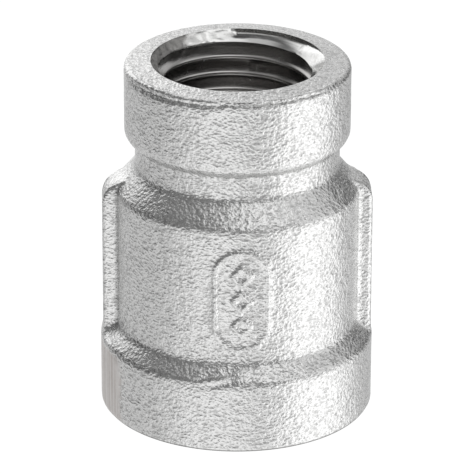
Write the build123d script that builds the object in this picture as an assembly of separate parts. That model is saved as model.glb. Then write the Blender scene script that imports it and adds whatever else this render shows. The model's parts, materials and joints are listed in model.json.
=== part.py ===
from build123d import *
from build123d.topology.shape_core import SkipClean
import os
from math import atan, ceil, degrees

# A banded reducing socket: one stainless casting, tapped at both ends with taper pipe thread.
# The origin is the middle of the large end's face. +Z runs along the thread axis to the small end,
# the two wrench ribs are at +X and -X, and the cast mark faces -Y. Sizes are in millimetres.

LENGTH = 28.9  # from face to face

# Taper pipe thread, 18 to the inch, with 60 degree flanks
PITCH = 25.4 / 18
TAPER = degrees(atan(1 / 32))  # one in sixteen on diameter
SMALL_ROOT_R = 6.81  # 1/4 nominal: thread root at the small end's face
LARGE_ROOT_R = 8.53  # 3/8 nominal: thread root at the large end's face
THREAD_DEPTH = 1.07  # root to drilled hole at the face
ROOT_FLAT = 0.05
FLANK_SLOPE = 0.57735  # half the groove's opening per unit of depth
CHASE = 0.35  # how far the groove's section reaches inside the drilled hole
MOUTH_OVER_ROOT = 0.02  # each 45 degree countersink opens this much wider than the root
SMALL_THREAD_START = 60  # degrees from +X to where the small groove's middle meets its face
LARGE_THREAD_START = 0
SMALL_THREAD_LENGTH = 9.9  # from the small end's face to the chamber's cone
LARGE_THREAD_LENGTH = 10.6  # from the large end's face to the cored chamber

# Walls, each from a thread's root at its face to the casting's outside
LARGE_BAND_WALL = 2.35
BODY_WALL = 1.17
SMALL_BAND_WALL = 2.14
NECK_WALL = 1.31

# Large end's reinforcing band, from its face up
LARGE_BAND_HEIGHT = 5.85
LARGE_SLOPE_HEIGHT = 1.15  # from the band's side up to the body

# Small end, from its face down: band, its underside, neck, shoulder
RIM_DROP = 0.25  # how far the small end's face falls towards its outer edge
SMALL_BAND_HEIGHT = 6.0
SMALL_SLOPE_HEIGHT = 0.65
NECK_LENGTH = 2.0
SHOULDER_HEIGHT = 1.85

# Casting radii
BASE_EDGE_R = 0.15  # the large face's outer edge
RIM_EDGE_R = 0.5  # the small face's outer edge
CREASE_R = 0.3  # the hollow under the small band
BLEND_R = 0.9  # every other turn of the outline

# Wrench ribs
RIB_SET_BACK = 0.13  # from the large band's side to the rib's outer face
RIB_WIDTH = 2.8
RIB_RISE = 0.1  # the outer corner of the rib's top above the shoulder's corner
RIB_TOP_DROP = 1.45  # fall of the rib's top from inside the neck out to its face
RIB_TOP_R = 2.1  # rounds that corner
RIB_EDGE_R = 0.35

# Cored chamber between the threads
CHAMBER_WALL = 1.45  # body outside to chamber
CHAMBER_CONE_HEIGHT = 2.6
CORE_R = 0.3  # the core's lower edge

# Cast mark: a raised outline with three raised lozenges inside
MARK_LENGTH = 8.6
MARK_WIDTH = 4.4
MARK_Z = 12.42
MARK_TURN = 0.4  # degrees that the mark sits off -Y
MARK_LINE = 0.28
MARK_RELIEF = 0.15
LOZENGE_LENGTH = 1.9
LOZENGE_WIDTH = 1.7
LOZENGE_SPACING = 2.15

# Ground gate: a low patch on the large band at -X, where the gate was cut off
GATE_RELIEF = 0.05
GATE_HALF_WIDTH = 6.0
GATE_BELOW_EDGE = 0.9  # from the band's upper corner down to the patch

OVERLAP = 0.5  # how far added metal is sunk into the casting, and cuts pass through a face
ON_FLOOR = (Align.CENTER, Align.CENTER, Align.MIN)

large_band_r = LARGE_ROOT_R + LARGE_BAND_WALL
body_r = LARGE_ROOT_R + BODY_WALL
small_band_r = SMALL_ROOT_R + SMALL_BAND_WALL
neck_r = SMALL_ROOT_R + NECK_WALL
small_hole_r = SMALL_ROOT_R - THREAD_DEPTH
large_hole_r = LARGE_ROOT_R - THREAD_DEPTH
chamber_r = body_r - CHAMBER_WALL
small_band_bottom = LENGTH - SMALL_BAND_HEIGHT
gate_height = LARGE_BAND_HEIGHT - GATE_BELOW_EDGE
neck_top = small_band_bottom - SMALL_SLOPE_HEIGHT
neck_bottom = neck_top - NECK_LENGTH
body_top = neck_bottom - SHOULDER_HEIGHT
small_thread_end = LENGTH - SMALL_THREAD_LENGTH


def turned(points, radii):
    """A solid of revolution about Z from an outline of (radius, z) with its corners rounded."""
    outline = FilletPolyline(*[(r, 0, z) for r, z in points], radius=radii, close=False)
    closing = Line(outline @ 1, outline @ 0)
    return revolve(make_face([*outline.edges(), *closing.edges()]), Axis.Z)


def outside():
    """The casting's outside without ribs: band, slope, body, shoulder, neck and band."""
    points = [
        (0, 0),
        (large_band_r, 0),
        (large_band_r, LARGE_BAND_HEIGHT),
        (body_r, LARGE_BAND_HEIGHT + LARGE_SLOPE_HEIGHT),
        (body_r, body_top),
        (neck_r, neck_bottom),
        (neck_r, neck_top),
        (small_band_r, small_band_bottom),
        (small_band_r, LENGTH - RIM_DROP),
        (SMALL_ROOT_R, LENGTH),
        (0, LENGTH),
    ]
    radii = [
        BASE_EDGE_R,
        BLEND_R,
        BLEND_R,
        BLEND_R,
        BLEND_R,
        CREASE_R,
        BLEND_R,
        RIM_EDGE_R,
        0,
    ]
    return turned(points, radii)


def rib():
    """The rib at +X: an upright fin from the large band to the shoulder, with a sloping top."""
    inner_r = neck_r - OVERLAP
    outer_r = large_band_r - RIB_SET_BACK
    bottom = LARGE_BAND_HEIGHT / 2
    top = body_top + RIB_RISE + RIB_TOP_DROP
    outline = FilletPolyline(
        (inner_r, 0, bottom),
        (outer_r, 0, bottom),
        (outer_r, 0, top - RIB_TOP_DROP),
        (inner_r, 0, top),
        radius=[0, RIB_TOP_R],
        close=False,
    )
    closing = Line(outline @ 1, outline @ 0)
    face = make_face([*outline.edges(), *closing.edges()])
    fin = extrude(face, RIB_WIDTH / 2, both=True)
    outer = fin.edges().filter_by(
        lambda edge: edge.center().X > inner_r + OVERLAP and abs(edge.center().Y) > RIB_WIDTH / 4
    )
    return fillet(outer.filter_by(lambda edge: edge.center().Z > bottom), RIB_EDGE_R)


def hole(radius, bottom, top):
    """A drilled hole whose wall is four quarter turns, so that a thread leaves short lands in it."""
    ring = Circle(radius).edges()[0]
    quarters = [ring.trim(n / 4, (n + 1) / 4) for n in range(4)]
    return extrude(Pos(0, 0, bottom) * Face(Wire(quarters)), top - bottom, clean=False)


def chamber():
    """The cored hollow between the threads: a cone off the large hole, a wide middle, a long cone."""
    cone_run = chamber_r - large_hole_r
    points = [
        (0, LARGE_THREAD_LENGTH),
        (large_hole_r, LARGE_THREAD_LENGTH),
        (chamber_r, LARGE_THREAD_LENGTH + cone_run),
        (chamber_r, small_thread_end - CHAMBER_CONE_HEIGHT),
        (small_hole_r, small_thread_end),
        (0, small_thread_end),
    ]
    return turned(points, [0, CORE_R, BLEND_R, 0])


def groove_turn(root_r, n):
    """Turn n of a thread groove that enters at z = 0 on the +X side and winds down to -Z.

    It narrows with the taper. Turn 0 is the one outside the face, so the groove starts in the open.
    """
    top = (1 - n) * PITCH
    start_r = root_r + top / 32
    wound = Helix(PITCH, PITCH, start_r, center=(0, 0, top), direction=(0, 0, -1), cone_angle=-TAPER)
    path = Rot(0, 0, 180) * wound.edge()
    half_root = ROOT_FLAT / 2
    half_mouth = half_root + FLANK_SLOPE * THREAD_DEPTH
    inner = -THREAD_DEPTH - CHASE
    outline = Polyline(
        (0, half_root),
        (-THREAD_DEPTH, half_mouth),
        (inner, half_mouth),
        (inner, -half_mouth),
        (-THREAD_DEPTH, -half_mouth),
        (0, -half_root),
        close=True,
    )
    begin = path @ 0
    section = Plane(origin=begin, x_dir=(begin.X, begin.Y, 0), z_dir=path % 0)
    return sweep(section * make_face(outline), path=path, is_frenet=True)


def tapped(casting, root_r, length, place):
    """The casting with one thread cut, turn by turn, and its mouth countersunk at 45 degrees."""
    for n in range(ceil(length / PITCH) + 1):
        casting = casting - place * groove_turn(root_r, n)
    mouth_r = root_r + MOUTH_OVER_ROOT
    sink = Pos(0, 0, -mouth_r / 2) * Cone(0, mouth_r, mouth_r)
    return casting - place * sink


def lozenge():
    outer = Polygon(
        (0, LOZENGE_LENGTH / 2),
        (-LOZENGE_WIDTH / 2, 0),
        (0, -LOZENGE_LENGTH / 2),
        (LOZENGE_WIDTH / 2, 0),
    )
    return outer - offset(outer, -MARK_LINE, kind=Kind.INTERSECTION)


def mark():
    """The raised outline and lozenges at -Y, following the round of the body."""
    outline = SlotOverall(MARK_LENGTH, MARK_WIDTH, rotation=90)
    flat = outline - offset(outline, -MARK_LINE)
    for n in (-1, 0, 1):
        flat = flat + Pos(0, n * LOZENGE_SPACING) * lozenge()
    front = Plane(origin=(0, 0, MARK_Z), x_dir=(1, 0, 0), z_dir=(0, -1, 0))
    block = extrude(front * flat, body_r + OVERLAP)
    skin = Cylinder(body_r + MARK_RELIEF, LENGTH, align=ON_FLOOR)
    core = Cylinder(body_r - OVERLAP, LENGTH, align=ON_FLOOR)
    return Rot(0, 0, MARK_TURN) * (block & (skin - core))


def gate():
    """The patch left at -X where the gate was ground off, a little proud of the large band."""
    skin = Cylinder(large_band_r + GATE_RELIEF, gate_height, align=ON_FLOOR)
    core = Cylinder(large_band_r - OVERLAP, gate_height, align=ON_FLOOR)
    keep = Box(large_band_r, 2 * GATE_HALF_WIDTH, gate_height, align=ON_FLOOR)
    return (skin - core) & (Pos(-large_band_r, 0, 0) * keep)


def reducer_casting():
    casting = outside() + rib() + Rot(0, 0, 180) * rib()
    for raised in [*mark().solids(), gate()]:
        casting = casting + raised
    casting = casting - chamber()
    with SkipClean():
        casting = casting - hole(large_hole_r, -OVERLAP, LARGE_THREAD_LENGTH + OVERLAP)
        casting = casting - hole(small_hole_r, small_thread_end - OVERLAP, LENGTH + OVERLAP)
        small_face = Pos(0, 0, LENGTH) * Rot(0, 0, SMALL_THREAD_START)
        casting = tapped(casting, SMALL_ROOT_R, SMALL_THREAD_LENGTH, small_face)
        large_face = Rot(180, 0, LARGE_THREAD_START)
        casting = tapped(casting, LARGE_ROOT_R, LARGE_THREAD_LENGTH, large_face)
    return casting


os.makedirs("parts", exist_ok=True)
export_step(reducer_casting(), "parts/reducer_casting.step")
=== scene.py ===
import json
from math import cos, radians, sin, tan

import bmesh
import bpy
import numpy as np
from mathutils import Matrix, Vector, noise


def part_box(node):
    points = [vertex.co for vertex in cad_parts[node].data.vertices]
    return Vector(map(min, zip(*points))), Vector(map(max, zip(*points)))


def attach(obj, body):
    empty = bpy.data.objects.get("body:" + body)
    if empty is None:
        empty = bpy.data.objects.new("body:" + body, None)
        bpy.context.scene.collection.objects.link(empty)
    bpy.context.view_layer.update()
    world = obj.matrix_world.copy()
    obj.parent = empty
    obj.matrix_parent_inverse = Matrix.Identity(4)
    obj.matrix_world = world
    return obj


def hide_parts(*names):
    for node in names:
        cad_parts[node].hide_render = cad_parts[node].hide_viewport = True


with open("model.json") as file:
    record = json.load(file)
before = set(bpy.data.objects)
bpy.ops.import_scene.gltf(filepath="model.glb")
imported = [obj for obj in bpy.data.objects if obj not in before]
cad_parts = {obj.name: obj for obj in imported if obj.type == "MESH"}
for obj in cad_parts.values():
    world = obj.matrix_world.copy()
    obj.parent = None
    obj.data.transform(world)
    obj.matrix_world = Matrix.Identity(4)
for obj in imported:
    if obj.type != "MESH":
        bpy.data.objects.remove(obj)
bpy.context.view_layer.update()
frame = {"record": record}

# ---- The casting ---------------------------------------------------------------------------------
# One stainless steel socket that joins two pipe sizes. It is poured in one piece, with its bands,
# ribs and mark, blasted clean, and then countersunk and tapped with taper pipe thread at each end.
# Its sizes are in millimetres, as (radius, height) about the thread axis.

MM = 0.001
casting_low, casting_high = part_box("reducer_casting")
mounts = {mount["name"]: mount for mount in frame["record"]["mounts"]}
length = casting_high.z / MM
large_band_r = casting_high.y / MM
small_hole_r = mounts["small_end"]["dims"]["r_mm"]
large_hole_r = mounts["large_end"]["dims"]["r_mm"]

THREAD_DEPTH = 1.07
MOUTH_OVER_ROOT = 0.02
small_root_r = small_hole_r + THREAD_DEPTH
large_root_r = large_hole_r + THREAD_DEPTH
small_mouth_r = small_root_r + MOUTH_OVER_ROOT
large_mouth_r = large_root_r + MOUTH_OVER_ROOT

BODY_R = 9.7
BODY_TOP = 18.4
NECK_R = 8.12
NECK_BOTTOM = 20.25
NECK_TOP = 22.25
SMALL_BAND_R = 8.95
SMALL_BAND_BOTTOM = 22.9
LARGE_BAND_TOP = 5.85
BODY_BOTTOM = 7.0
RIM_DROP = 0.25
BLEND_R = 0.9

MARK_LENGTH = 8.6
MARK_WIDTH = 4.4
MARK_Z = 12.42
MARK_ANGLE = 270.4
MARK_LINE = 0.28
MARK_RELIEF = 0.18

OUTLINE_STEP = 0.01


def bent(corners, radii):
    """A fine outline through corners of (r, z), each inner corner rounded with about its radius."""
    corners = [np.array(corner, float) for corner in corners]
    line = [corners[0]]
    for before, corner, after, radius in zip(corners, corners[1:], corners[2:], radii):
        back = (before - corner) / np.linalg.norm(before - corner)
        ahead = (after - corner) / np.linalg.norm(after - corner)
        half_turn = (np.pi - np.arccos(np.clip(back @ ahead, -1, 1))) / 2
        reach = radius * tan(half_turn)
        for t in np.linspace(0, 1, 13):
            from_back = (1 - t) ** 2 * (corner + back * reach)
            line.append(from_back + 2 * t * (1 - t) * corner + t**2 * (corner + ahead * reach))
    line.append(corners[-1])
    line = np.array(line)
    along = np.concatenate([[0], np.cumsum(np.linalg.norm(np.diff(line, axis=0), axis=1))])
    fine = np.arange(0, along[-1], OUTLINE_STEP)
    fine = np.append(fine, along[-1])
    return np.interp(fine, along, line[:, 0]), np.interp(fine, along, line[:, 1])


def ease(low, high, value):
    """0 below low, 1 above high, and a smooth rise between them."""
    t = np.clip((value - low) / (high - low), 0, 1)
    return t * t * (3 - 2 * t)


def blended_max(a, b, reach):
    """The larger of a and b, with a fillet where they cross."""
    return np.maximum(a, b) + np.maximum(reach - np.abs(a - b), 0) ** 2 / (4 * reach)


def grain(radius, angle, height, scale, seed):
    """Smooth noise from -1 to 1 over the surface, one value for each point."""
    x = radius * np.cos(np.radians(angle)) / scale + seed
    y = radius * np.sin(np.radians(angle)) / scale
    values = [noise.noise(Vector(p)) for p in zip(x.ravel(), y.ravel(), height.ravel() / scale)]
    return np.array(values).reshape(x.shape)


# Columns stand at even degrees round the axis, and closer across the mark and the ribs' walls.
COLUMN_STEP = 1.8
MARK_COLUMN_STEP = 0.56
WALL_COLUMN_STEP = 0.38
SMALL_THREAD_START = 60.0
LARGE_THREAD_START = 0.0
mark_columns = MARK_ANGLE + np.arange(-14, 14.1, MARK_COLUMN_STEP)
wall_columns = [
    rib + side * np.arange(5.0, 11.2, WALL_COLUMN_STEP) for rib in (0, 180) for side in (-1, 1)
]
close_columns = np.concatenate([mark_columns, *wall_columns]) % 360
even_columns = np.arange(0, 360, COLUMN_STEP)
gap = np.abs((even_columns[:, None] - close_columns[None, :] + 180) % 360 - 180).min(axis=1)
columns = np.concatenate(
    [even_columns[gap > 1.0], close_columns, [SMALL_THREAD_START, LARGE_THREAD_START]]
)
columns = np.unique(np.round(columns, 4))

sheets = []


def add_sheet(angles, radius, height, cut):
    """Keeps one strip of the skin: a row for each height, a column for each angle. cut is True on
    surfaces that a tool has cut."""
    sheets.append((np.broadcast_to(angles, radius.shape), radius, height, cut))


# The outside, from the large mouth over both bands and the body to the small mouth
outline_r, outline_z = bent(
    [
        (large_mouth_r, 0),
        (large_band_r, 0),
        (large_band_r, LARGE_BAND_TOP),
        (BODY_R, BODY_BOTTOM),
        (BODY_R, BODY_TOP),
        (NECK_R, NECK_BOTTOM),
        (NECK_R, NECK_TOP),
        (SMALL_BAND_R, SMALL_BAND_BOTTOM),
        (SMALL_BAND_R, length - RIM_DROP),
        (small_mouth_r, length),
    ],
    [0.15, BLEND_R, BLEND_R, BLEND_R, BLEND_R, 0.3, BLEND_R, 0.5],
)
mark_low = MARK_Z - MARK_LENGTH / 2 - 0.2
mark_high = MARK_Z + MARK_LENGTH / 2 + 0.2
stations = [0]
for n, (r, z) in enumerate(zip(outline_r, outline_z)):
    spacing = 0.22
    if z < 0.001 and r < large_band_r - 0.3:
        spacing = 0.5  # on the flat base
    elif r > SMALL_BAND_R - 1.2 and z > length - 0.8:
        spacing = 0.1  # round the small rim
    elif mark_low < z < mark_high or LARGE_BAND_TOP - 0.4 < z < BODY_BOTTOM:
        spacing = 0.13  # over the mark and the large band's slope
    if (n - stations[-1]) * OUTLINE_STEP >= spacing:
        stations.append(n)
stations[-1] = len(outline_r) - 1
row_r = outline_r[stations][:, None]
row_z = outline_z[stations][:, None]
slope_r = np.gradient(row_r[:, 0])
slope_z = np.gradient(row_z[:, 0])
tilt = np.hypot(slope_r, slope_z)
out_r = (slope_z / tilt)[:, None]
out_z = (-slope_r / tilt)[:, None]

round_trip = np.append(columns, columns[0] + 360)
skin_angle = np.broadcast_to(round_trip, (len(stations), len(round_trip)))
skin_r = np.broadcast_to(row_r, skin_angle.shape).copy()
skin_z = np.broadcast_to(row_z, skin_angle.shape).copy()

# The wrench ribs: fins with upright walls at +X and -X, rounded at the top and along their edges
RIB_R = 10.75
RIB_WIDTH = 2.8
RIB_TOP_R = 2.1
RIB_EDGE_R = 0.4
RIB_ROOT_R = 0.45
RIB_BLEND = 0.12
RIB_FOOT = 3.0  # inside the large band
RIB_TOP = 18.5
RIB_TOP_DROP = 1.45
rib_r, rib_z = bent(
    [(RIB_R, RIB_FOOT), (RIB_R, RIB_TOP), (NECK_R - 0.5, RIB_TOP + RIB_TOP_DROP)], [RIB_TOP_R]
)
fin_x = np.interp(skin_z, rib_z, rib_r, left=0, right=0)
off_rib = np.radians(np.abs((skin_angle + 90) % 180 - 90))
wall_r = RIB_WIDTH / 2 / np.sin(np.maximum(off_rib, 0.01))
# Each long edge is a quarter round, and each wall runs into the body in a hollow quarter round.
round_x = fin_x - RIB_EDGE_R
round_y = RIB_WIDTH / 2 - RIB_EDGE_R
reach = round_x * np.cos(off_rib) + round_y * np.sin(off_rib)
edge_r = reach + np.sqrt(np.maximum(reach**2 - round_x**2 - round_y**2 + RIB_EDGE_R**2, 0))
in_corner = (edge_r * np.cos(off_rib) > round_x) & (edge_r * np.sin(off_rib) > round_y)
fin_r = np.where(in_corner, edge_r, np.minimum(fin_x, wall_r))
from_wall = np.clip(skin_r * np.sin(off_rib) - RIB_WIDTH / 2, 0, RIB_ROOT_R)
hollow = RIB_ROOT_R - np.sqrt(RIB_ROOT_R**2 - (RIB_ROOT_R - from_wall) ** 2)
skin_r = skin_r + np.minimum(hollow, np.maximum(fin_x - skin_r, 0))
skin_r = blended_max(skin_r, fin_r, RIB_BLEND)

# The mark: a raised line round a long oval, with three lozenges inside
LOZENGE_LENGTH = 1.9
LOZENGE_WIDTH = 1.7
LOZENGE_SPACING = 2.15
turn = np.radians(skin_angle - MARK_ANGLE)
across = np.where(np.cos(turn) > 0, skin_r * np.sin(turn), 99)
up = skin_z - MARK_Z
oval = np.hypot(across, np.maximum(np.abs(up) - (MARK_LENGTH - MARK_WIDTH) / 2, 0))
line_gap = np.abs(oval - MARK_WIDTH / 2 + MARK_LINE / 2) - MARK_LINE / 2
for n in (-1, 0, 1):
    share = np.abs(across) / (LOZENGE_WIDTH / 2)
    share = share + np.abs(up - n * LOZENGE_SPACING) / (LOZENGE_LENGTH / 2)
    edge = (share - 1) * LOZENGE_WIDTH * LOZENGE_LENGTH / 2 / np.hypot(LOZENGE_WIDTH, LOZENGE_LENGTH)
    line_gap = np.minimum(line_gap, np.abs(edge + MARK_LINE / 2) - MARK_LINE / 2)
relief = MARK_RELIEF * ease(0.2, -0.12, line_gap) * (1 - 0.55 * ease(-1.5, -4, up))

# The ground gate: a flat left at -X on the large band, with an uneven upper border
GATE_RELIEF = 0.04
GATE_REACH = 33.0
off_gate = np.abs(skin_angle % 360 - 180)
gate_top = LARGE_BAND_TOP + 0.1 - 1.2 * ease(14, GATE_REACH, off_gate)
gate_reach = GATE_REACH + 2 * grain(skin_r, 0 * skin_angle, skin_z, 1.5, 80)
ground = ease(gate_reach, gate_reach - 2.5, off_gate) * ease(0.25, 0, skin_z - gate_top)

# The cast skin: low lumps, a beaded edge to the large band, and a turned-over lip on the rim
wide_lumps = grain(skin_r, skin_angle, skin_z, 1.1, 3)
lumps = 0.5 * wide_lumps + 0.5 * grain(skin_r, skin_angle, skin_z, 0.55, 9)
beads = np.maximum(grain(skin_r, skin_angle, skin_z * 0.3, 0.55, 21), -0.3)
edge_beads = ease(0.5, 0.1, np.abs(skin_z - LARGE_BAND_TOP + 0.15))
LUMP_RELIEF = 0.035
BEAD_RELIEF = 0.05
LIP_DROP = 0.35  # how far the fold under the lip lies below the small mouth
LIP_RELIEF = 0.13
UNDER_LIP_DEPTH = 0.17
lip_wave = grain(skin_r, skin_angle, 0 * skin_z, 1.6, 40)
lip_wave = lip_wave + 0.5 * grain(skin_r, skin_angle, 0 * skin_z, 0.6, 44)
along_skin = np.array(stations)[:, None] * OUTLINE_STEP
fold = along_skin[row_z > length - LIP_DROP][0] + 0.1 * lip_wave
lip = ease(0.22, 0.02, np.abs(along_skin - fold - 0.26))
under_width = 0.16 + 0.2 * ease(268, 245, skin_angle) * (1 + lip_wave)
under_lip = ease(under_width, 0.02, np.abs(along_skin - fold + under_width - 0.16))
front = ease(75, 40, np.abs(skin_angle - 262))
# A short raised dash below the mark, on the lower edge of the large band's slope
DASH_ANGLE = 259.0
DASH_RISE = 0.026  # for each degree to the right
DASH_Z = 6.0
DASH_RELIEF = 0.32
DASH_HOLLOW = 0.08
blasted = 1 - 0.85 * ground
raised = relief - LUMP_RELIEF * (1 - lumps) * blasted / 2
raised = raised + GATE_RELIEF * ground * ease(large_band_r - 0.3, large_band_r - 0.05, skin_r)
raised = raised + BEAD_RELIEF * beads * edge_beads * blasted
raised = raised + front * LIP_RELIEF * lip * (1 + lip_wave)
raised = raised - front * UNDER_LIP_DEPTH * under_lip * (1 + 0.5 * lip_wave)
dash_along = skin_angle - DASH_ANGLE
dash_up = skin_z - DASH_Z - DASH_RISE * dash_along
dash = ease(6.5, 4, np.abs(dash_along)) * ease(0.26, 0.04, np.abs(dash_up))
dash_hollow = ease(10, 6, np.abs(dash_along)) * ease(0.7, 0.3, np.abs(dash_up))
raised = raised + DASH_RELIEF * dash - DASH_HOLLOW * dash_hollow
settled = ease(0, 0.3, skin_z) * ease(0, 0.35, length - skin_z)
skin_r = skin_r + raised * settled * out_r
skin_r = np.where(off_gate > 60, np.minimum(skin_r, large_band_r), skin_r)
skin_z = skin_z + raised * settled * out_z
add_sheet(round_trip, skin_r, skin_z, False)

# The threads and their countersinks. The groove's middle winds down one pitch for each turn, and the
# rows follow it, at offsets below the middle that are close together on the crest.
PITCH = 25.4 / 18
HALF_ROOT = 0.025
FLANK = 3**0.5  # how far a 60 degree flank rises for each step along the axis
CORED_R = 8.25
SMALL_THREAD_LENGTH = 9.9
LARGE_THREAD_LENGTH = 10.6
CHAMBER_CONE = 2.6
small_thread_end = length - SMALL_THREAD_LENGTH
chamber_z = [
    LARGE_THREAD_LENGTH,
    LARGE_THREAD_LENGTH + CORED_R - large_hole_r,
    small_thread_end - CHAMBER_CONE,
    small_thread_end,
]
chamber_r = [large_hole_r, CORED_R, CORED_R, small_hole_r]
SHALLOW_START = 0.32
SINK_SHIFT = 1.366  # how far a flank's crossing with the countersink moves for each step of depth
RUN_OUT = 0.8  # how far each thread's grooves carry on into the chamber's cone


def cored(height):
    """The chamber's radius at a height, and 0 in the drilled ends."""
    return np.interp(height, chamber_z, chamber_r, left=0, right=0)


def shallow_start(wound):
    """How much shallower the tap's groove is where it starts, by the degrees that it has wound."""
    return SHALLOW_START * (1 - ease(40, 170, wound))


def thread_rows(depth, root_r, hole_r, sink):
    """Offsets of the rows from a groove's middle at this depth down to the next groove's flank."""
    half_groove = HALF_ROOT + (root_r - depth / 32 - hole_r) / FLANK
    fade = np.clip(1 - depth / PITCH, 0, 1)
    lost = SINK_SHIFT * shallow_start(depth / PITCH * 360)
    meets_sink = np.clip(SINK_SHIFT * depth - lost - 0.027, 0.02, 0.5)
    meets_sink = meets_sink * np.clip(2 - depth / PITCH, 0, 1)
    meets_sink = np.minimum(meets_sink, half_groove - 0.1)
    rows = [0 * depth, meets_sink]
    for close in (0.05, 0.085, 0.14, 0.2, 0.35):
        rows.append(meets_sink + np.maximum(close - meets_sink, 0) * fade)
    rows.append(half_groove - 0.06)
    rows.append(half_groove + 0.02)
    rows.append(PITCH / 2 + 0 * depth)
    rows.append(PITCH - half_groove - 0.02)
    rows.append(PITCH - half_groove + 0.06)
    rows.append(np.maximum(sink * PITCH, PITCH - half_groove + 0.06))
    return rows


def tapped_end(root_r, hole_r, mouth_r, face, side, start, thread_length):
    """A countersunk and tapped end whose face is at height face. side is 1 if it faces +Z, else -1."""
    wound = np.sort(((start - columns) * side) % 360)
    wound = np.append(wound, 360)
    angles = start - side * wound
    first = PITCH * wound / 360
    sink = (FLANK * (PITCH - HALF_ROOT) + mouth_r - root_r) / (FLANK + 1) / PITCH
    limit = thread_length + RUN_OUT
    depths = [offset / PITCH * first for offset in thread_rows(0.0, root_r, hole_r, sink)]
    for groove in range(int(limit / PITCH) + 1):
        middle = first + groove * PITCH
        depths += [middle + offset for offset in thread_rows(middle, root_r, hole_r, sink)]
    depth = np.minimum(np.array(depths), limit)
    groove = np.floor((depth - first) / PITCH + 0.5)
    to_middle = np.abs(depth - first - groove * PITCH)
    thread_r = root_r - depth / 32 - FLANK * np.maximum(to_middle - HALF_ROOT, 0)
    thread_r = thread_r - shallow_start(wound + 360 * groove)
    radius = np.maximum(np.maximum(thread_r, hole_r), mouth_r - depth)
    height = face - side * depth
    radius = np.maximum(radius, cored(height))
    return angles, radius, height, depth


angles, radius, height, depth = tapped_end(
    small_root_r, small_hole_r, small_mouth_r, length, 1, SMALL_THREAD_START, SMALL_THREAD_LENGTH
)
# The small end's countersink has left some rough bore uncut on one side. On the other a chip has
# broken off along its edge, and left a crescent with a steep wall.
round_angle = np.broadcast_to(angles % 360, radius.shape)
TORN_RELIEF = 0.11
CHIP_DEPTH = 0.42
CHIP_END = 92  # degrees from +X, where the chip stops short
chip_wave = grain(small_mouth_r + 0 * radius, round_angle, 0 * height, 0.9, 70)
chip = CHIP_DEPTH * (1 + 0.12 * chip_wave) * ease(CHIP_END + 1, CHIP_END - 1, round_angle)
chip = chip * ease(0, 42, round_angle)
radius = np.maximum(radius, small_mouth_r - 4 * np.maximum(depth - chip, 0.01 * depth))
rough = ease(CHIP_END, 104, round_angle) * ease(235, 200, round_angle)
rough = rough * ease(0.01, 0.08, depth) * ease(1.0, 0.85, depth)
torn_bore = grain(radius, round_angle, height, 0.5, 60)
torn_bore = torn_bore + 0.8 * grain(radius, round_angle, height, 0.25, 64)
radius = radius + TORN_RELIEF * rough * np.maximum(torn_bore, -0.4)
add_sheet(angles, radius, height, True)

angles, radius, height, depth = tapped_end(
    large_root_r, large_hole_r, large_mouth_r, 0, -1, LARGE_THREAD_START, LARGE_THREAD_LENGTH
)
add_sheet(angles, radius, height, True)

chamber_rows = np.concatenate(
    [
        np.linspace(small_thread_end - RUN_OUT, chamber_z[2], 6),
        np.linspace(chamber_z[2], LARGE_THREAD_LENGTH + RUN_OUT, 8)[1:],
    ]
)
chamber_rows = np.sort(chamber_rows)[:, None]
chamber_height = np.broadcast_to(chamber_rows, (len(chamber_rows), len(round_trip)))
add_sheet(round_trip, cored(chamber_height), chamber_height, False)

# One closed mesh from the strips: equal points along their edges become one.
MERGE_REACH = 0.0004
SHARP_ANGLE = 48
points = []
faces = []
is_cut = []
for sheet_angle, sheet_r, sheet_z, cut in sheets:
    rows, wide = sheet_r.shape
    x = sheet_r * np.cos(np.radians(sheet_angle))
    y = sheet_r * np.sin(np.radians(sheet_angle))
    number = np.arange(rows * wide).reshape(rows, wide) + sum(len(p) for p in points)
    points.append(np.stack([x.ravel(), y.ravel(), np.array(sheet_z).ravel()], axis=1))
    corners = [number[:-1, :-1], number[:-1, 1:], number[1:, 1:], number[1:, :-1]]
    quads = np.stack([corner.ravel() for corner in corners], axis=1)
    faces.append(quads)
    is_cut.append(np.full(len(quads), cut))
mesh = bpy.data.meshes.new("reducer_body")
mesh.from_pydata(np.concatenate(points).tolist(), [], np.concatenate(faces).tolist())
mesh.polygons.foreach_set("material_index", np.concatenate(is_cut).astype(np.int32))
shape = bmesh.new()
shape.from_mesh(mesh)
bmesh.ops.remove_doubles(shape, verts=shape.verts, dist=MERGE_REACH)
bmesh.ops.dissolve_degenerate(shape, edges=shape.edges, dist=MERGE_REACH / 2)
bmesh.ops.recalc_face_normals(shape, faces=shape.faces)
bmesh.ops.scale(shape, vec=(MM, MM, MM), verts=shape.verts)
shape.to_mesh(mesh)
shape.free()
mesh.polygons.foreach_set("use_smooth", [True] * len(mesh.polygons))
mesh.set_sharp_from_angle(angle=radians(SHARP_ANGLE))
reducer_body = bpy.data.objects.new("reducer_body", mesh)
bpy.context.scene.collection.objects.link(reducer_body)


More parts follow.
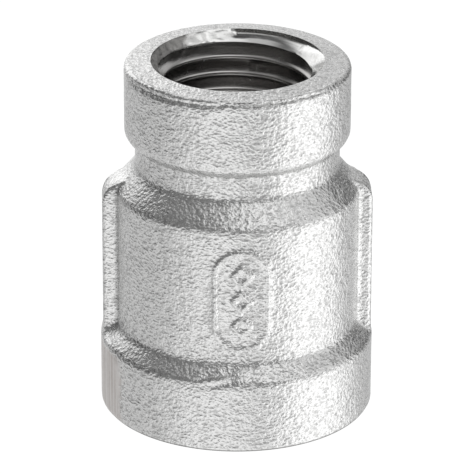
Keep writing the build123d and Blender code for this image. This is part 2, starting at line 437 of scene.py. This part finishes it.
class Signal:
    """One output of a node. Arithmetic on signals adds the Math nodes that work it out."""

    def __init__(self, maker, socket):
        self.maker = maker
        self.socket = socket

    def maths(self, operation, *values):
        inputs = dict(enumerate(values))
        return self.maker.node("ShaderNodeMath", {"operation": operation}, inputs)

    def __add__(self, other):
        return self.maths("ADD", self, other)

    __radd__ = __add__

    def __sub__(self, other):
        return self.maths("SUBTRACT", self, other)

    def __rsub__(self, other):
        return self.maths("SUBTRACT", other, self)

    def __mul__(self, other):
        return self.maths("MULTIPLY", self, other)

    __rmul__ = __mul__

    def __abs__(self):
        return self.maths("ABSOLUTE", self)

    def root(self):
        return self.maths("SQRT", self)

    def rise(self, low, high):
        """0 below low, 1 above high, and a smooth rise between. low may be the larger."""
        settings = {"interpolation_type": "SMOOTHSTEP"}
        if low < high:
            return self.maker.node("ShaderNodeMapRange", settings, {0: self, 1: low, 2: high})
        return 1 - self.maker.node("ShaderNodeMapRange", settings, {0: self, 1: high, 2: low})


class NodeMaker:
    """Adds nodes to one tree: a node's type, its settings, then values or signals by input."""

    def __init__(self, tree):
        self.tree = tree

    def node(self, kind, settings, inputs, output=0):
        made = self.tree.nodes.new(kind)
        for name, value in settings.items():
            if name == "stops":
                ramp = made.color_ramp
                for stop, (place, shade) in enumerate(value):
                    found = ramp.elements[stop] if stop < 2 else ramp.elements.new(place)
                    found.position = place
                    found.color = (*shade, 1)
            else:
                setattr(made, name, value)
        for name, value in inputs.items():
            if isinstance(value, Signal):
                self.tree.links.new(value.socket, made.inputs[name])
            else:
                made.inputs[name].default_value = value
        return Signal(self, made.outputs[output]) if made.outputs else None

    def mixed(self, mask, below, above):
        """The colour below where mask is 0, and above where it is 1."""
        below, above = [(*shade, 1) if isinstance(shade, tuple) else shade for shade in (below, above)]
        return self.node("ShaderNodeMix", {"data_type": "RGBA"}, {0: mask, 6: below, 7: above}, 2)


def metal(name):
    """An empty material and its node maker."""
    material = bpy.data.materials.new(name)
    material.use_nodes = True
    material.node_tree.nodes.clear()
    return material, NodeMaker(material.node_tree)


# The cast skin: blasted stainless, with a fine grain whose hollows are painted darker as shade, and
# the gate's patch ground smooth in upright strokes. A painted shadow darkens its bottom edge.
GREY = (0.58, 0.58, 0.575)
PALE = (0.78, 0.78, 0.775)
WARM = (0.72, 0.695, 0.68)
RUST = (0.56, 0.52, 0.495)
FOOT_SHADOW_COLOUR = (0.2, 0.2, 0.195)
GRAIN_RELIEF = 0.00017
FINE_GRAIN = 3700  # cells to the metre
COARSE_GRAIN = 1100
cast_skin, make = metal("cast_skin")
place = make.node("ShaderNodeTexCoord", {}, {}, "Object")
x = make.node("ShaderNodeSeparateXYZ", {}, {0: place}, "X")
z = make.node("ShaderNodeSeparateXYZ", {}, {0: place}, "Z")
level = make.node("ShaderNodeMapping", {"vector_type": "POINT"}, {0: place, 3: (1, 1, 1.3)})
fine_grain = make.node(
    "ShaderNodeTexNoise", {}, {"Vector": level, "Scale": FINE_GRAIN, "Detail": 1, "Roughness": 0.5}
)
coarse_grain = make.node(
    "ShaderNodeTexNoise", {}, {"Vector": level, "Scale": COARSE_GRAIN, "Detail": 1, "Roughness": 0.5}
)
strokes = make.node("ShaderNodeMapping", {"vector_type": "POINT"}, {0: place, 3: (1, 1, 0.03)})
stroke_grain = make.node("ShaderNodeTexNoise", {}, {"Vector": strokes, "Scale": 2600, "Detail": 2})
gate_edge_x = -large_band_r * cos(radians(GATE_REACH)) * MM
gate_height = make.node("ShaderNodeTexNoise", {}, {"Vector": place, "Scale": 500}) * 0.0006 + 0.0052
gate_fray = make.node("ShaderNodeTexNoise", {}, {"Vector": place, "Scale": 900}) * 0.0012 - 0.0006
in_gate = (x + gate_fray).rise(gate_edge_x, gate_edge_x - 0.0005)
in_gate = in_gate * (z - gate_height).rise(0.0002, -0.0002)
# Grain tone that is darker in the grain's low hollows, partly a random tone and partly painted shade;
# the pale tops are also a little smoother.
grain_tone_and_hollow_shade = (coarse_grain * 0.25 + fine_grain * 0.75).rise(0.34, 0.52)
blasted_grain = coarse_grain * 0.45 + fine_grain * 0.55
grain_height = blasted_grain * (1 - in_gate) + stroke_grain * 0.6 * in_gate
skin_colour = make.mixed(grain_tone_and_hollow_shade, GREY, PALE)
streaks = stroke_grain.rise(0.35, 0.65)
gate_colour = make.mixed(streaks, RUST, WARM)
skin_colour = make.mixed(in_gate, skin_colour, gate_colour)
skin_bump = make.node(
    "ShaderNodeBump", {}, {"Strength": 1.0, "Distance": GRAIN_RELIEF, "Height": grain_height}
)
# Painted shadow: a dark band along the bottom edge, where the casting stands on the table.
painted_foot_shadow = z.rise(0.0002, 0.00004)
skin_colour = make.mixed(painted_foot_shadow, skin_colour, FOOT_SHADOW_COLOUR)
surface = make.node(
    "ShaderNodeBsdfPrincipled",
    {},
    {
        "Base Color": skin_colour,
        "Metallic": 1.0,
        "Roughness": 0.33 - 0.08 * grain_tone_and_hollow_shade + 0.05 * in_gate,
        "Normal": skin_bump,
    },
)
make.node("ShaderNodeOutputMaterial", {}, {"Surface": surface})

# The tapped ends: bare cut metal, with fine rings from the countersink and the tap, and dull patches
# of cutting oil and torn metal. Painted shade darkens the metal deeper in the bores.
CUT = (0.82, 0.82, 0.81)
STAINED = (0.62, 0.61, 0.60)
BORE_SHADE_COLOUR = (0.5, 0.49, 0.48)
UNCUT = (0.34, 0.335, 0.325)
TOOL_MARK_RELIEF = 0.00003
TOOL_MARKS = 9000  # cells to the metre
TORN_GRAIN = 1500
cut_metal, make = metal("cut_metal")
place = make.node("ShaderNodeTexCoord", {}, {}, "Object")
x = make.node("ShaderNodeSeparateXYZ", {}, {0: place}, "X")
y = make.node("ShaderNodeSeparateXYZ", {}, {0: place}, "Y")
z = make.node("ShaderNodeSeparateXYZ", {}, {0: place}, "Z")
from_axis = (x * x + y * y).root()
rings = make.node("ShaderNodeCombineXYZ", {}, {0: from_axis, 1: z, 2: 0.0})
tool_marks = make.node("ShaderNodeTexNoise", {}, {"Vector": rings, "Scale": TOOL_MARKS, "Detail": 2})
torn = make.node(
    "ShaderNodeTexNoise", {}, {"Vector": place, "Scale": TORN_GRAIN, "Detail": 4, "Roughness": 0.65}
)
stains = torn.rise(0.5, 0.8)
# Painted shade: the cut metal turns darker from 0.8 mm to 1.8 mm in from either end face and stays
# dark deeper in.
depth_in = casting_high.z / 2 - abs(z - casting_high.z / 2)
painted_bore_shade = depth_in.rise(0.0008, 0.0018)
in_sink = z.rise(casting_high.z - 0.0013, casting_high.z - 0.0010)
uncut = (x + torn * 0.0016).rise(-0.0028, -0.0034) * in_sink
cut_colour = make.mixed(stains, CUT, STAINED)
cut_height = tool_marks * 0.6 + torn * 0.2 + torn * uncut * 9
cut_bump = make.node(
    "ShaderNodeBump", {}, {"Strength": 0.3, "Distance": TOOL_MARK_RELIEF, "Height": cut_height}
)
cut_colour = make.mixed(painted_bore_shade, cut_colour, BORE_SHADE_COLOUR)
cut_colour = make.mixed(uncut, cut_colour, UNCUT)
surface = make.node(
    "ShaderNodeBsdfPrincipled",
    {},
    {
        "Base Color": cut_colour,
        "Metallic": 1.0,
        "Roughness": 0.2 + 0.1 * stains + 0.1 * uncut,
        "Normal": cut_bump,
    },
)
make.node("ShaderNodeOutputMaterial", {}, {"Surface": surface})

mesh.materials.append(cast_skin)
mesh.materials.append(cut_metal)
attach(reducer_body, "root")
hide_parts("reducer_casting")

# ---- The table -----------------------------------------------------------------------------------
# A plain white table top that runs out of sight. It glows a little, so that it stays pale
# right up to the casting's foot.
TABLE_HALF = 3.0
TABLE_GAP = 0.00002  # below the casting's face, so that the two don't lie in one plane
table_mesh = bpy.data.meshes.new("table_top")
table_z = casting_low.z - TABLE_GAP
corners = [(x * TABLE_HALF, y * TABLE_HALF, table_z) for x, y in ((-1, -1), (1, -1), (1, 1), (-1, 1))]
table_mesh.from_pydata(corners, [], [(0, 1, 2, 3)])
table_top = bpy.data.objects.new("table_top", table_mesh)
bpy.context.scene.collection.objects.link(table_top)
table_paint, make = metal("table_paint")
matt = make.node(
    "ShaderNodeBsdfPrincipled",
    {},
    {
        "Base Color": (0.1, 0.1, 0.1, 1),
        "Roughness": 1.0,
        "Specular IOR Level": 0.0,
        "Emission Color": (1, 1, 1, 1),
        "Emission Strength": 1.0,
    },
)
make.node("ShaderNodeOutputMaterial", {}, {"Surface": matt})
table_mesh.materials.append(table_paint)
table_top.visible_glossy = False
table_top.visible_diffuse = False

# ---- The light -----------------------------------------------------------------------------------
# Plain soft light from all round: pale below and to the sides, dim overhead. Each softbox or dark
# card is (azimuth to the right of the front, elevation, half-width, light added), in degrees.
SOFTBOXES = [
    (-10, -34, 34, 0.12),
    (27, -24, 13, -0.38),
    (70, -12, 34, 0.55),
    (145, -20, 30, -0.32),
    (-115, -30, 48, -0.28),
    (-145, 24, 26, 0.65),
    (-60, 68, 14, 0.5),
    (25, 54, 20, 1.0),
    (88, 42, 24, 0.55),
    (180, 24, 36, 0.5),
]
SOFT_EDGE = 13
studio = bpy.data.worlds.new("studio")
bpy.context.scene.world = studio
studio.use_nodes = True
studio.node_tree.nodes.clear()
make = NodeMaker(studio.node_tree)
direction = make.node("ShaderNodeTexCoord", {}, {}, "Generated")
toward_z = make.node("ShaderNodeSeparateXYZ", {}, {0: direction}, "Z")
brightness = 1.0 - 0.78 * toward_z.rise(-0.5, 0.22) - 0.18 * toward_z.rise(0.55, 0.9)
for around, lift, half_width, light in SOFTBOXES:
    level_reach = cos(radians(lift))
    x = level_reach * sin(radians(around))
    y = -level_reach * cos(radians(around))
    toward = {0: direction, 1: (x, y, sin(radians(lift)))}
    facing = make.node("ShaderNodeVectorMath", {"operation": "DOT_PRODUCT"}, toward, "Value")
    outer = cos(radians(half_width + SOFT_EDGE))
    inner = cos(radians(max(half_width - SOFT_EDGE, 0)))
    brightness = brightness + light * facing.rise(outer, inner)
brightness = brightness.maths("MAXIMUM", brightness, 0.04)
sky = make.node("ShaderNodeBackground", {}, {"Color": (1, 1, 1, 1), "Strength": brightness})
make.node("ShaderNodeOutputWorld", {}, {"Surface": sky})

# ---- The camera ----------------------------------------------------------------------------------
# It stands in front of the mark and looks down a little into the small end.
CAMERA_AZIMUTH = 268.3
CAMERA_ELEVATION = 23.7
CAMERA_ROLL = 0.2
CAMERA_DISTANCE = 0.330
LENS = 314.2
AIM_HEIGHT = 0.01372
aim = Vector((0, 0, AIM_HEIGHT))
azimuth = radians(CAMERA_AZIMUTH)
elevation = radians(CAMERA_ELEVATION)
back = Vector((cos(elevation) * cos(azimuth), cos(elevation) * sin(azimuth), sin(elevation)))
camera = bpy.data.objects.new("camera", bpy.data.cameras.new("camera"))
bpy.context.scene.collection.objects.link(camera)
camera.location = aim + CAMERA_DISTANCE * back
level = (-back).to_track_quat("-Z", "Y")
camera.rotation_euler = level.to_euler()
camera.rotation_euler.rotate_axis("Z", radians(CAMERA_ROLL))
camera.data.lens = LENS
camera.data.clip_start = 0.01
bpy.context.scene.camera = camera
bpy.context.scene.view_settings.view_transform = "Standard"
